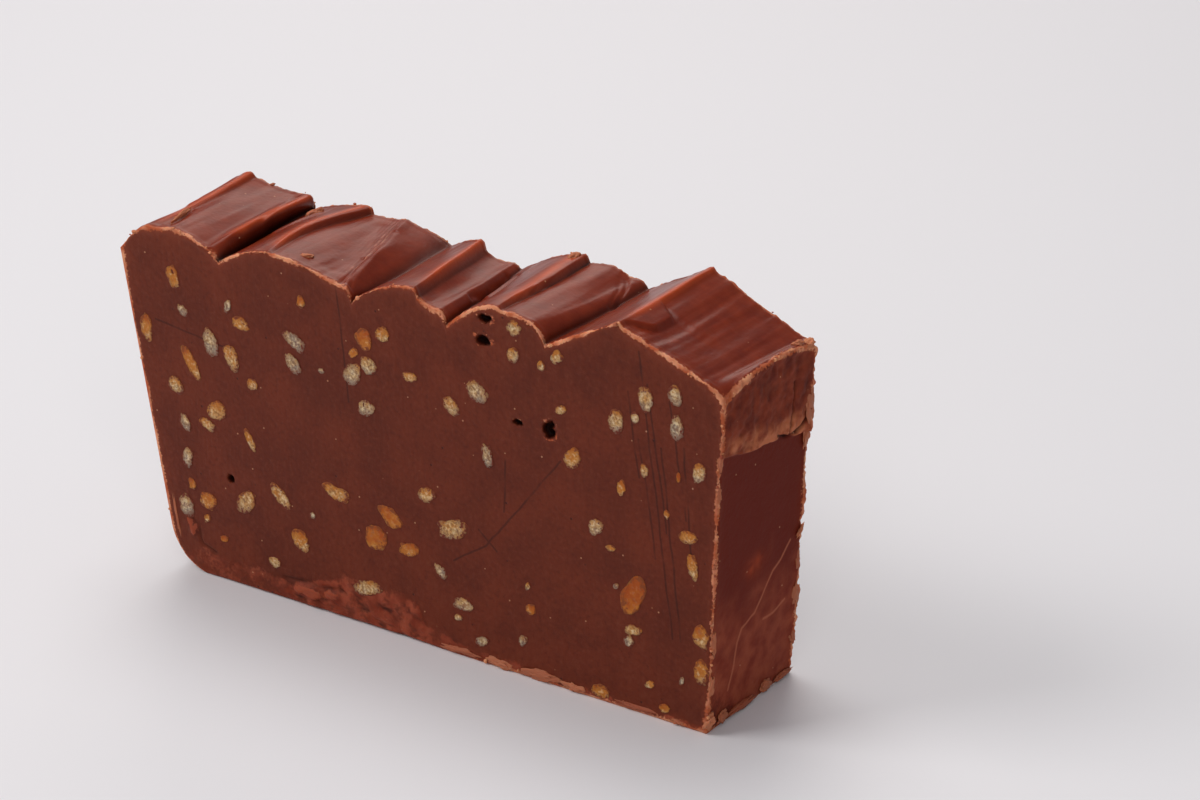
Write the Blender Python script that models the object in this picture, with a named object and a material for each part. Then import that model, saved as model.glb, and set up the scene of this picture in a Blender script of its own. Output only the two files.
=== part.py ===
"""One slice of chocolate fudge with crisped rice, cut across a loaf whose top was paddled into folds.

X runs along the slice, Y through its thickness with the shown cut face at -Y, and Z up. The origin is
on the surface that the slice stands on, under the middle of its box. Sizes are in millimetres.
"""

import math
import random
from collections import namedtuple

import bmesh
import bpy
from mathutils import Matrix, Vector, noise

MM = 0.001

# The loaf's walls: the left one is the tray's, the right one was broken off its neighbour.
WALL_HEIGHT = 57.0
BASE_LEFT = -50.1
BASE_RIGHT = 56.2
LEFT_LEAN = 8.6
RIGHT_LEAN = 2.4
TRAY_CORNER_RADIUS = 9.0

# The knife's two cuts, which open a little towards the top.
THICKNESS_AT_BASE = 24.7
THICKNESS_AT_WALL_TOP = 26.3

# The broken end: a rough raised band above a line that falls towards the back, and chipped corners.
END_BAND_FRONT = 47.4
END_BAND_BACK = 43.2
END_BAND_PROUD = 0.55
END_CORNER_HEIGHT = 56.7
END_ARCH = 2.7
END_LEDGE_HEIGHT = 5.0
END_LEDGE_DEPTH = 0.45

# How finely the folds are drawn.
RISE_STEPS = 7
NOSE_STEPS = 5
WALL_STEPS = 26
TRAY_WALL_STEPS = 6
CORNER_STEPS = 7
DEPTHS = (0, 0.025, 0.09, 0.18, 0.27, 0.36, 0.45, 0.55, 0.64, 0.73, 0.82, 0.91, 0.975, 1)
RIM_WIDTH = 0.8
RIM_SPREAD = 0.45
FOLD_WOBBLE = 0.22
FOLD_WOBBLE_LENGTH = 8.0
EDGE_CRUMBLE = 0.3

# A fold of the top, from its foot up to the ridge, down its face to the brow, and over a rounded nose
# to the next fold's foot. Each place is (x, z) at the front cut and at the back cut. Rim is how far the
# face drops just behind the ridge, and bulge how far it stands above a straight line, front and back.
Fold = namedtuple("Fold", "foot ridge brow rim bulge nose sway rise face_steps streaks")
FOLDS = (
    Fold(((-58.7, 56.4), (-58.8, 57.6)), ((-51.9, 61.2), (-52.0, 62.9)), ((-40.3, 60.3), (-39.4, 61.6)),
         rim=(0.0, 0.5), bulge=(1.2, -0.3), nose=(0.3, 1.1), sway=0.0, rise=1.0, face_steps=9, streaks=0),
    Fold(((-37.8, 58.3), (-38.5, 59.3)), ((-27.6, 62.3), (-27.4, 62.3)), ((-11.9, 59.6), (-19.1, 61.4)),
         rim=(0.1, 1.0), bulge=(0.6, 0.1), nose=(0.3, 0.7), sway=-2.4, rise=1.0, face_steps=12, streaks=0),
    Fold(((-10.9, 57.3), (-10.1, 58.7)), ((1.0, 62.4), (-4.3, 61.3)), ((6.4, 60.1), (1.9, 58.7)),
         rim=(0.3, 1.0), bulge=(-0.4, -0.5), nose=(0.3, 0.2), sway=0.2, rise=0.8, face_steps=8, streaks=0),
    Fold(((7.7, 57.7), (3.8, 57.4)), ((17.3, 63.0), (14.7, 62.8)), ((24.2, 61.7), (25.4, 61.3)),
         rim=(0.0, 1.0), bulge=(0.2, 0.3), nose=(0.3, 0.4), sway=-0.3, rise=1.0, face_steps=9, streaks=0),
    Fold(((26.2, 59.2), (28.3, 59.7)), ((38.8, 65.4), (39.8, 66.1)), ((55.9, 59.4), (56.9, 58.2)),
         rim=(0.4, 0.4), bulge=(0.1, 0.2), nose=(0.3, 0.2), sway=-0.2, rise=1.6, face_steps=26, streaks=6),
)
STREAK_DEPTH = 0.22

# Crisped rice that the knife met: sizes, how far it stands proud, and the largest grains on the front
# as (x, z, length, width, tilt from upright in degrees).
GRAIN_LENGTH = (2.3, 4.2)
GRAIN_SLIMNESS = (0.62, 0.85)
GRAIN_DEPTH = 1.6
GRAIN_PROUD = 0.45
GRAIN_SIDES = 6
GRAIN_RINGS = 4
SHOWN_GRAINS = (
    (-47.5, 53.5, 4.5, 2.6, -15), (-40.5, 44.0, 5.4, 3.0, 20), (-36.5, 41.5, 5.2, 3.2, 15),
    (-44.5, 38.5, 6.2, 2.6, 25), (-22.5, 48.0, 3.9, 3.4, 30), (-8.5, 51.5, 4.0, 3.4, -30),
    (-8.0, 47.0, 3.9, 3.2, 60), (-11.5, 44.5, 4.2, 3.4, 10), (13.0, 48.0, 4.2, 3.4, 40),
    (-27.0, 19.0, 4.6, 3.6, 20), (-15.5, 23.0, 5.5, 3.4, 70), (-7.5, 16.5, 5.6, 4.4, -10),
    (-4.5, 21.5, 5.0, 3.8, 45), (8.0, 22.5, 5.8, 4.0, 85), (-9.5, 7.0, 5.4, 3.4, 75),
    (42.0, 20.5, 5.8, 4.4, -15), (42.5, 14.0, 4.2, 3.2, 30), (15.0, 37.5, 4.2, 2.4, 5),
    (39.5, 49.5, 3.9, 3.0, 15), (31.0, 41.0, 3.5, 3.2, 0), (44.5, 54.5, 4.1, 2.5, 20),
    (53.5, 28.5, 4.1, 2.2, 5), (-34.0, 16.5, 4.2, 3.8, 35), (10.0, 9.5, 4.0, 3.4, 60),
    (-46.0, 48.0, 2.8, 2.3, 30), (-54.0, 43.0, 5.0, 2.6, -8), (-34.0, 48.5, 3.4, 2.4, 75),
    (-23.0, 44.0, 3.6, 2.8, 30), (-48.5, 34.0, 3.8, 3.0, 45), (-40.0, 31.0, 3.9, 3.2, 50),
    (-42.0, 28.0, 3.0, 2.4, 80), (-47.0, 27.5, 3.5, 2.7, 10), (-5.0, 54.0, 3.1, 2.6, 60),
    (-9.0, 39.5, 3.6, 2.8, 70), (8.0, 44.5, 3.8, 2.3, -15), (-33.5, 28.5, 4.4, 1.8, 0),
    (-47.0, 21.0, 3.6, 2.7, 15), (-48.0, 12.0, 4.2, 3.0, -10), (-43.0, 14.0, 3.8, 3.3, 60),
    (-1.0, 16.5, 4.1, 3.0, 80), (3.0, 27.0, 3.1, 2.6, 60), (-23.0, 12.0, 4.2, 3.6, 30),
    (21.0, 60.5, 3.2, 2.6, 20), (28.5, 57.5, 2.8, 2.0, 60), (50.0, 56.0, 3.3, 2.8, 20),
    (50.0, 51.0, 4.1, 2.4, 0), (54.0, 44.5, 3.3, 2.4, 10), (35.5, 30.5, 3.2, 2.8, 45),
    (52.5, 33.5, 3.2, 2.4, 80), (54.5, 17.0, 3.8, 3.2, 10), (54.5, 11.0, 4.2, 3.2, 20),
    (36.5, 2.0, 3.8, 2.4, 80),
)
FRONT_GRAINS = 12
BACK_GRAINS = 46
GRAIN_SPACING = 4.0
GRAIN_MARGIN = 2.6
GRAIN_SEED = 11

# Torn flakes along the front foot of the slice, and lumps along the broken back corner.
FLAKE_SEED = 5
FOOT_FLAKES = 20
FOOT_FLAKE_LENGTH = (2.4, 5.0)
FOOT_FLAKE_HEIGHT = (0.9, 1.7)
FOOT_FLAKE_PROUD = 0.32
CORNER_LUMPS = ((50.0, 1.5), (46.5, 2.3), (42.5, 2.6), (38.0, 1.4), (30.5, 1.1), (18.8, 1.3), (12.5, 0.9))
CRUMBS_ON_CORNER = 5

# Holes in the front: (x, z, length, width), where air was trapped or a grain fell out.
PITS = ((14.7, 57.0, 3.2, 1.6), (15.2, 60.8, 2.6, 1.4), (27.0, 44.8, 2.6, 1.3), (21.0, 44.6, 2.0, 0.9),
        (-37.7, 19.5, 1.3, 1.2))
PIT_DEPTH = 2.0
CHIP_AT_BACK_FOOT = (57.2, 13.4, 1.0)
CHIP_SIZE = (3.4, 4.4, 4.6)


def lerp(a, b, t):
    return a + (b - a) * t


def half_thickness(z):
    """How far the cut faces lie from the middle plane at height z."""
    return lerp(THICKNESS_AT_BASE, THICKNESS_AT_WALL_TOP, z / WALL_HEIGHT) / 2


def place(pair, depth):
    """A fold's (x, z) at this depth, from 0 at the front cut to 1 at the back cut."""
    (front_x, front_z), (back_x, back_z) = pair
    return lerp(front_x, back_x, depth), lerp(front_z, back_z, depth)


def fold_outline(fold, next_foot, depth):
    """The points of one fold, from its foot up to just before the next fold's foot."""
    foot_x, foot_z = place(fold.foot, depth)
    ridge_x, ridge_z = place(fold.ridge, depth)
    brow_x, brow_z = place(fold.brow, depth)
    end_x, end_z = place(next_foot, depth)
    ridge_x += fold.sway * math.sin(math.pi * depth)
    rim = lerp(*fold.rim, depth**RIM_SPREAD)
    bulge, nose = lerp(*fold.bulge, depth), lerp(*fold.nose, depth)
    points = []
    for step in range(RISE_STEPS):
        t = step / RISE_STEPS
        climb = math.sin(t * math.pi / 2) ** fold.rise
        points.append((lerp(foot_x, ridge_x, t), lerp(foot_z, ridge_z, climb)))
    for step in range(fold.face_steps):
        t = step / fold.face_steps
        drop = rim * (1 - t) * (1 - math.exp(-(brow_x - ridge_x) * t / RIM_WIDTH))
        streak = STREAK_DEPTH * math.sin(2 * math.pi * fold.streaks * t) * math.sin(math.pi * min(1, 1.3 * t))
        height = lerp(ridge_z, brow_z, t) + bulge * math.sin(math.pi * t) - drop
        points.append((lerp(ridge_x, brow_x, t), height + streak * (fold.streaks > 0)))
    run, fall = end_x - brow_x, end_z - brow_z
    length = math.hypot(run, fall)
    for step in range(NOSE_STEPS):
        t = step / NOSE_STEPS
        out = nose * math.sin(math.pi * t)
        points.append((lerp(brow_x, end_x, t) - out * fall / length, lerp(brow_z, end_z, t) + out * run / length))
    return points


def corner_top(depth):
    """Where the top meets the broken end: highest mid-way, crumbled off at both cuts."""
    arch = END_ARCH * max(0.0, math.sin(math.pi * depth)) ** 0.6
    return BASE_RIGHT + RIGHT_LEAN, END_CORNER_HEIGHT + arch


def top_outline(depth):
    """The folds from the left wall to the right one."""
    last = (corner_top(depth),) * 2
    feet = [fold.foot for fold in FOLDS[1:]] + [last]
    points = []
    for fold, next_foot in zip(FOLDS, feet):
        points += fold_outline(fold, next_foot, depth)
    return points


def end_outline(depth):
    """Down the broken end, from its top edge to the base."""
    top = corner_top(depth)[1]
    band = lerp(END_BAND_FRONT, END_BAND_BACK, depth)
    y = lerp(-1, 1, depth) * half_thickness(top)
    points = []
    for step in range(WALL_STEPS + 1):
        z = top * (1 - step / WALL_STEPS)
        rough = 0.22 if z > band else 0.07
        proud = END_BAND_PROUD * (z > band) * (0.5 + 0.5 * min(1, (top - z) / 4))
        ledge = END_LEDGE_DEPTH * (z < END_LEDGE_HEIGHT * depth)
        x = BASE_RIGHT + RIGHT_LEAN * z / WALL_HEIGHT + proud - ledge - END_BAND_PROUD
        points.append((x + rough * noise.noise(Vector((y, z, 3.0)) / 2.5), z))
    return points


def tray_outline(depth):
    """Round the tray's bottom corner and up its wall, from the base to the first fold."""
    lean = math.atan2(LEFT_LEAN, WALL_HEIGHT)
    turn = math.pi / 2 - lean
    centre_x = BASE_LEFT + TRAY_CORNER_RADIUS * math.tan(turn / 2)
    points = []
    for step in range(CORNER_STEPS + 1):
        angle = turn * step / CORNER_STEPS
        x = centre_x - TRAY_CORNER_RADIUS * math.sin(angle)
        points.append((x, TRAY_CORNER_RADIUS * (1 - math.cos(angle))))
    start_x, start_z = points[-1]
    end_x, end_z = place(FOLDS[0].foot, depth)
    for step in range(1, TRAY_WALL_STEPS):
        t = step / TRAY_WALL_STEPS
        points.append((lerp(start_x, end_x, t), lerp(start_z, end_z, t)))
    return points


def slab_mesh():
    """The slice as a loft of outlines, one for each depth, closed by its two flat cuts."""
    crumble = random.Random(FLAKE_SEED)
    mesh = bmesh.new()
    rings = []
    for depth in DEPTHS:
        tray, top, end = tray_outline(depth), top_outline(depth), end_outline(depth)
        at_cut = depth in (0, 1)
        ring = []
        for x, z in tray + top + end:
            y = lerp(-1, 1, depth) * half_thickness(z)
            if (x, z) in top:
                z += FOLD_WOBBLE * noise.noise(Vector((x, y, z)) / FOLD_WOBBLE_LENGTH)
                if at_cut:
                    z -= crumble.uniform(0, EDGE_CRUMBLE)
            ring.append(mesh.verts.new(Vector((x, y, z)) * MM))
        rings.append(ring)
    count = len(rings[0])
    for near, far in zip(rings, rings[1:]):
        for i in range(count):
            j = (i + 1) % count
            mesh.faces.new((near[i], near[j], far[j], far[i]))
    mesh.faces.new(rings[0])
    mesh.faces.new(rings[-1])
    bmesh.ops.recalc_face_normals(mesh, faces=mesh.faces)
    return mesh


def add_object(name, mesh, collection):
    data = bpy.data.meshes.new(name)
    mesh.to_mesh(data)
    mesh.free()
    obj = bpy.data.objects.new(name, data)
    collection.objects.link(obj)
    return obj


def lump_mesh(centre, size, turn, sides=GRAIN_SIDES, rings=GRAIN_RINGS, uneven=0.0, draw=None):
    """A low-sided ellipsoid of this full size about centre, turned about the Y axis."""
    mesh = bmesh.new()
    poles_along_y = Matrix.Rotation(math.pi / 2, 4, "X")
    bmesh.ops.create_uvsphere(mesh, u_segments=sides, v_segments=rings, radius=0.5, matrix=poles_along_y)
    if uneven:
        for vert in mesh.verts:
            vert.co *= draw.uniform(1 - uneven, 1 + uneven)
    matrix = Matrix.Translation(Vector(centre) * MM) @ Matrix.Rotation(turn, 4, "Y")
    matrix = matrix @ Matrix.Diagonal((*(side * MM for side in size), 1))
    bmesh.ops.transform(mesh, matrix=matrix, verts=mesh.verts)
    return mesh


def top_height(x, depth):
    """The height of the folds at this x, read off the outline."""
    outline = top_outline(depth)
    for (x0, z0), (x1, z1) in zip(outline, outline[1:]):
        if x0 <= x <= x1:
            return lerp(z0, z1, (x - x0) / max(x1 - x0, 1e-6))
    return 0.0


def spread_grains(draw, count, depth, taken):
    """Evenly spread (x, z) places on a cut: each the one of several draws farthest from the rest."""
    places = list(taken)
    while len(places) < count + len(taken):
        best, best_gap = None, 0
        for _ in range(14):
            x = draw.uniform(BASE_LEFT - LEFT_LEAN, BASE_RIGHT)
            z = draw.uniform(GRAIN_MARGIN, WALL_HEIGHT + 5)
            left = BASE_LEFT - LEFT_LEAN * z / WALL_HEIGHT + GRAIN_MARGIN + max(0, 6 - z)
            if not left < x < BASE_RIGHT - GRAIN_MARGIN or z > top_height(x, depth) - GRAIN_MARGIN:
                continue
            gap = min((math.hypot(x - px, z - pz) for px, pz in places), default=99)
            if gap > best_gap:
                best, best_gap = (x, z), gap
        if best is None or best_gap < GRAIN_SPACING:
            break
        places.append(best)
    return places[len(taken):]


def grains_on_cuts(collection):
    """The crisped rice on both cuts, the largest grains of the front first."""
    draw = random.Random(GRAIN_SEED)
    shown = [(x, z, length, width, math.radians(tilt)) for x, z, length, width, tilt in SHOWN_GRAINS]
    front = spread_grains(draw, FRONT_GRAINS, 0, [grain[:2] for grain in shown])
    back = spread_grains(draw, BACK_GRAINS, 1, [])
    for side, places in ((-1, front), (1, back)):
        for x, z in places:
            length = draw.uniform(*GRAIN_LENGTH)
            shown.append((x, z, length, length * draw.uniform(*GRAIN_SLIMNESS), draw.uniform(0, math.pi), side))
    for index, (x, z, length, width, tilt, *side) in enumerate(shown):
        side = side[0] if side else -1
        y = side * (half_thickness(z) + GRAIN_PROUD - GRAIN_DEPTH / 2)
        mesh = lump_mesh((x, y, z), (width, GRAIN_DEPTH, length), tilt)
        add_object(f"grain_{index:03d}", mesh, collection)


def flakes_and_crumbs(collection):
    """Torn flakes at the front foot, lumps on the broken back corner, and crumbs on its top."""
    draw = random.Random(FLAKE_SEED)
    run = (BASE_RIGHT - 4) - (BASE_LEFT + TRAY_CORNER_RADIUS)
    for index in range(FOOT_FLAKES):
        length, height = draw.uniform(*FOOT_FLAKE_LENGTH), draw.uniform(*FOOT_FLAKE_HEIGHT)
        x = BASE_LEFT + TRAY_CORNER_RADIUS + run * (index + 0.5) / FOOT_FLAKES + draw.uniform(-1, 1)
        z = draw.uniform(0.5, 1.1) + height / 2
        centre = (x, FOOT_FLAKE_PROUD * 1.5 - half_thickness(z), z)
        size = (length, FOOT_FLAKE_PROUD * 5, height)
        add_object(f"foot_flake_{index}", lump_mesh(centre, size, draw.uniform(-0.12, 0.12)), collection)
    for index, (z, size) in enumerate(CORNER_LUMPS):
        x = BASE_RIGHT + RIGHT_LEAN * z / WALL_HEIGHT - 0.42 * size - END_BAND_PROUD
        centre = (x, half_thickness(z) - 0.22 * size, z)
        lump = lump_mesh(centre, (size * 0.9, size, size * 1.7), draw.uniform(-0.1, 0.1), 7, 5, 0.14, draw)
        add_object(f"corner_lump_{index}", lump, collection)
    for index in range(CRUMBS_ON_CORNER):
        depth = 0.72 + 0.26 * index / CRUMBS_ON_CORNER
        x, z = corner_top(depth)
        centre = (x - draw.uniform(1.3, 3.0), lerp(-1, 1, depth) * half_thickness(z) - 0.3, z + draw.uniform(0, 0.4))
        size = draw.uniform(1.3, 1.9)
        crumb = lump_mesh(centre, (size, size, size), draw.uniform(0, 3), 6, 4, 0.15, draw)
        add_object(f"crumb_{index}", crumb, collection)


def pits_and_chip(collection):
    """The holes in the front cut and the corner that broke off the back of the foot."""
    draw = random.Random(FLAKE_SEED)
    for index, (x, z, length, width) in enumerate(PITS):
        centre = (x, -half_thickness(z), z)
        pit = lump_mesh(centre, (length, 2 * PIT_DEPTH, width), draw.uniform(-0.5, 0.5), 8, 6, 0.12, draw)
        add_object(f"pit_{index}", pit, collection)
    chip = lump_mesh(CHIP_AT_BACK_FOOT, CHIP_SIZE, 0.3, 8, 6, 0.1, draw)
    add_object("chip", chip, collection)


def apply_boolean(obj, collection, operation):
    """Joins the collection's solids to the object, or cuts them from it, and removes them."""
    modifier = obj.modifiers.new(operation.lower(), "BOOLEAN")
    modifier.operation = operation
    modifier.operand_type = "COLLECTION"
    modifier.collection = collection
    modifier.solver = "EXACT"
    bpy.context.view_layer.objects.active = obj
    with bpy.context.temp_override(object=obj, active_object=obj):
        bpy.ops.object.modifier_apply(modifier=modifier.name)
    for piece in list(collection.objects):
        bpy.data.objects.remove(piece)
    bpy.data.collections.remove(collection)


def keep_largest_body(obj):
    """Drops any loose scrap and fills any sealed hollow that the Booleans left."""
    mesh = bmesh.new()
    mesh.from_mesh(obj.data)
    bodies, unseen = [], set(mesh.verts)
    while unseen:
        body, edge_of_search = set(), {unseen.pop()}
        while edge_of_search:
            vert = edge_of_search.pop()
            body.add(vert)
            near = {edge.other_vert(vert) for edge in vert.link_edges} - body
            edge_of_search |= near
        unseen -= body
        bodies.append(body)
    bodies.sort(key=len)
    loose = [vert for body in bodies[:-1] for vert in body]
    bmesh.ops.delete(mesh, geom=loose, context="VERTS")
    bmesh.ops.triangulate(mesh, faces=mesh.faces)
    mesh.to_mesh(obj.data)
    mesh.free()


def fudge_material():
    """Milk-chocolate fudge: dense and opaque, with a soft sheen."""
    material = bpy.data.materials.new("milk_chocolate_fudge")
    material.use_nodes = True
    shader = material.node_tree.nodes["Principled BSDF"]
    shader.inputs["Base Color"].default_value = (0.108, 0.024, 0.012, 1.0)
    shader.inputs["Metallic"].default_value = 0.0
    shader.inputs["Roughness"].default_value = 0.5
    return material


def new_collection(name):
    collection = bpy.data.collections.new(name)
    bpy.context.scene.collection.children.link(collection)
    return collection


def build():
    for obj in list(bpy.data.objects):
        bpy.data.objects.remove(obj)
    slab = add_object("fudge_slab", slab_mesh(), bpy.context.scene.collection)
    holes = new_collection("holes")
    pits_and_chip(holes)
    apply_boolean(slab, holes, "DIFFERENCE")
    relief = new_collection("relief")
    grains_on_cuts(relief)
    flakes_and_crumbs(relief)
    apply_boolean(slab, relief, "UNION")
    keep_largest_body(slab)
    slab.data.materials.append(fudge_material())


build()
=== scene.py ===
"""The looks of one slice of chocolate fudge with crisped rice, cut from a loaf with a paddled top."""

import functools
import itertools
import math
from collections import namedtuple

import bmesh
import bpy
import numpy as np
from mathutils import Matrix, Vector


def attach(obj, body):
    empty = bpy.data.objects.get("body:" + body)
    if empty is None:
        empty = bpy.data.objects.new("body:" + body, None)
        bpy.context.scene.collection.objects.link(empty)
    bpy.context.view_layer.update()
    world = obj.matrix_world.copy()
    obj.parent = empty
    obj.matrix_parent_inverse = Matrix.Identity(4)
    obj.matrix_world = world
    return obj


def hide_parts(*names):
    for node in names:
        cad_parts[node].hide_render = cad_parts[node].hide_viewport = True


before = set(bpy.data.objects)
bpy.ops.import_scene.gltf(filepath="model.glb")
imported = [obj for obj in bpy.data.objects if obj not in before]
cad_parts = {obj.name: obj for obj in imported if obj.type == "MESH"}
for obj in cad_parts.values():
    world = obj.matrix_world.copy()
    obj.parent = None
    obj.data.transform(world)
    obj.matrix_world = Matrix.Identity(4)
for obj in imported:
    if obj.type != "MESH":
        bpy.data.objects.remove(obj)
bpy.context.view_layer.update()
bpy.ops.object.select_all(action="DESELECT")

MM = 0.001

# The slice, in millimetres, as the solid has it: its tray, its thickness and its broken end.
WALL_HEIGHT = 57.0
BASE_LEFT = -50.1
BASE_RIGHT = 56.2
LEFT_LEAN = 8.6
RIGHT_LEAN = 2.4
TRAY_CORNER_RADIUS = 9.0
TRAY_CORNER_SHARE = 0.16
THICKNESS_AT_BASE = 24.7
THICKNESS_AT_WALL_TOP = 26.3
MEAN_SIZE = np.array((115.0, 25.6, 60.0))
END_BAND_FRONT = 47.4
END_BAND_BACK = 43.2
END_BAND_PROUD = 0.55
END_CORNER_HEIGHT = 56.7
END_ARCH = 2.7

# A fold of the top, from its foot up to the ridge, down its face to the brow, and over a rounded nose to
# the next fold's foot. Each place is (x, z) at the front cut and at the back cut. Bead is the height of
# the ridge's rolled rim, bulge how high the face bows up and nose how far the nose bows out, each as
# (front, back). Rope is how wide the bead grows. Hang is how far the nose overhangs half-way back, curl
# how far its lip turns up and sway how far the ridge bends there. Rise shapes the way up to the ridge.
Fold = namedtuple("Fold", "foot ridge brow bead rope bulge nose hang curl sway rise")
FOLDS = (
    Fold(((-58.7, 56.4), (-58.8, 57.6)), ((-51.9, 61.2), (-52.0, 62.9)), ((-40.3, 60.3), (-39.4, 61.6)),
         bead=(0.0, 0.5), rope=0.4, bulge=(1.2, -0.5), nose=(0.2, 0.3),
         hang=1.9, curl=0.7, sway=0.0, rise=1.0),
    Fold(((-37.8, 58.3), (-38.5, 59.3)), ((-27.6, 62.3), (-27.4, 62.3)), ((-11.9, 59.6), (-19.1, 61.4)),
         bead=(0.1, 1.2), rope=0.7, bulge=(0.6, -0.4), nose=(0.3, 0.2),
         hang=0.0, curl=0.7, sway=-2.4, rise=1.0),
    Fold(((-10.9, 57.3), (-10.1, 58.7)), ((1.5, 62.8), (-4.3, 61.3)), ((6.4, 59.8), (2.4, 58.2)),
         bead=(1.0, 1.3), rope=0.4, bulge=(-0.4, -0.7), nose=(0.3, 0.1),
         hang=0.1, curl=0.2, sway=0.2, rise=0.8),
    Fold(((7.7, 57.7), (3.8, 57.4)), ((17.3, 63.0), (14.7, 62.8)), ((24.2, 61.7), (25.4, 60.6)),
         bead=(0.2, 1.9), rope=1.5, bulge=(0.4, 1.5), nose=(0.3, 0.5),
         hang=0.1, curl=0.1, sway=-0.3, rise=1.0),
    Fold(((26.3, 58.8), (28.3, 59.7)), ((39.8, 65.8), (39.8, 66.1)), ((55.9, 59.4), (56.9, 58.2)),
         bead=(0.5, 0.5), rope=0.3, bulge=(0.1, 0.2), nose=(0.3, 0.2),
         hang=0.0, curl=0.0, sway=-0.2, rise=1.6),
)
NOSE_LENGTH = 4.0
BEAD_FALL = 0.5
BEAD_SPREAD = 0.4
# A rise runs straighter to its ridge further back, and the last one all along.
RISE_SHARPNESS = 0.55
LAST_RISE_SHARPNESS = 0.85
# The highest value of the curve that an overhang follows.
HANG_PEAK = 0.42
# The curled tongue near the front of the last ridge.
TONGUE_WIDTH = 3.4
TONGUE_HEIGHT = 0.7

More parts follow.
